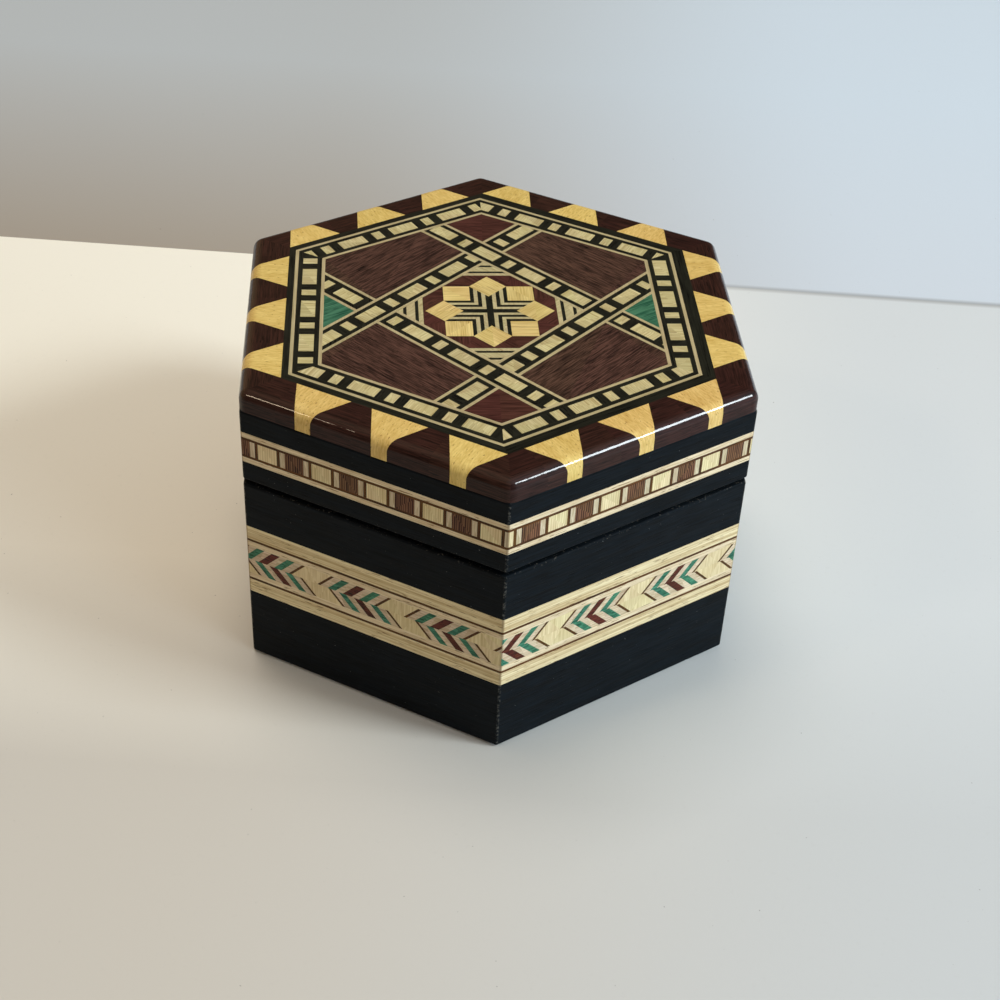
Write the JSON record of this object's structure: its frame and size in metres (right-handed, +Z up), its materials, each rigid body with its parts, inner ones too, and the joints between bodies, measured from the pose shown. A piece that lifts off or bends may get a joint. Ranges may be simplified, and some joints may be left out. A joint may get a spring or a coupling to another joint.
{
  "type": "inlaid wooden trinket box",
  "caption": "Six-sided wooden trinket box with a hinged lid, geometric marquetry on top, inlaid bands round the sides and a lined compartment.",
  "frame": {"origin": "middle of the underside, on the plane that the box stands on", "axes": "+Z up, +X from corner to corner and to the right of the front face, +Y to the back, where the hinge is"},
  "size_m": [0.0998, 0.0873, 0.0582],
  "materials": {
    "box_wood": "stained hardwood, satin",
    "dark_veneer": "black-stained veneer, satin lacquer",
    "maple": "pale maple, lacquered",
    "golden_maple": "golden maple, gloss lacquer",
    "pale_line": "pale stringing, gloss lacquer",
    "black_line": "black-stained stringing, gloss lacquer",
    "brown_line": "dark brown stringing, satin lacquer",
    "mahogany": "mahogany, gloss lacquer",
    "brown_panel": "dark brown mahogany, gloss lacquer",
    "red_panel": "red-brown mahogany, gloss lacquer",
    "green_wood": "green-dyed wood, gloss lacquer",
    "velvet": "burgundy velvet",
    "felt": "black felt",
    "brass": "drawn brass, slightly dull"
  },
  "bodies": {
    "base": {"base_floor_board": "box_wood", "base_wall_front": "box_wood", "base_wall_front_right": "box_wood", "base_wall_back_right": "box_wood", "base_wall_back": "box_wood", "base_wall_back_left": "box_wood", "base_wall_front_left": "box_wood", "base_underside_felt": "felt", "base_floor_pad": "velvet", "base_wall_lining": "velvet", "base_veneer_lower": "dark_veneer", "base_veneer_upper": "dark_veneer", "base_band_edge_strips": "maple", "base_band_dark_lines": "brown_line", "base_band_pale_lines": "maple", "base_chevrons_maple": "maple", "base_chevrons_pale": "maple", "base_chevrons_green": "green_wood", "base_chevrons_red": "mahogany", "base_chevrons_dark": "brown_line", "hinge_leaf_base": "brass", "hinge_pin": "brass", "hinge_brads_base": "brass"},
    "lid": {"lid_board": "box_wood", "lid_wall_front": "box_wood", "lid_wall_front_right": "box_wood", "lid_wall_back_right": "box_wood", "lid_wall_back": "box_wood", "lid_wall_back_left": "box_wood", "lid_wall_front_left": "box_wood", "lid_ceiling_lining": "velvet", "lid_veneer_lower": "dark_veneer", "lid_veneer_upper": "dark_veneer", "lid_band_pale_lines": "maple", "lid_band_dark_lines": "brown_line", "lid_band_maple_blocks": "maple", "lid_band_brown_blocks": "brown_panel", "lid_band_white_bars": "pale_line", "lid_band_dark_dividers": "brown_line", "lid_border_mahogany": "mahogany", "lid_border_teeth": "golden_maple", "top_black_border": "black_line", "top_pale_line": "pale_line", "top_black_line": "black_line", "top_maple_block": "maple", "top_black_block": "black_line", "top_panels_along": "brown_panel", "top_panels_across": "brown_panel", "top_panels_red": "red_panel", "top_triangles_green": "green_wood", "top_star_squares": "golden_maple", "top_star_ground": "red_panel", "top_star_cross_bars": "black_line", "top_star_dark_chevrons": "black_line", "top_star_pale_chevrons": "pale_line", "top_stripes_pale": "maple", "top_stripes_dark": "black_line", "hinge_leaf_lid": "brass", "hinge_brads_lid": "brass"}
  },
  "joints": [
    {"name": "lid_hinge", "type": "hinge", "parent": "base", "child": "lid", "pos_m": [0, 0.04273, 0.03963], "axis": [-1, 0, 0], "range_deg": [0, 100]}
  ]
}
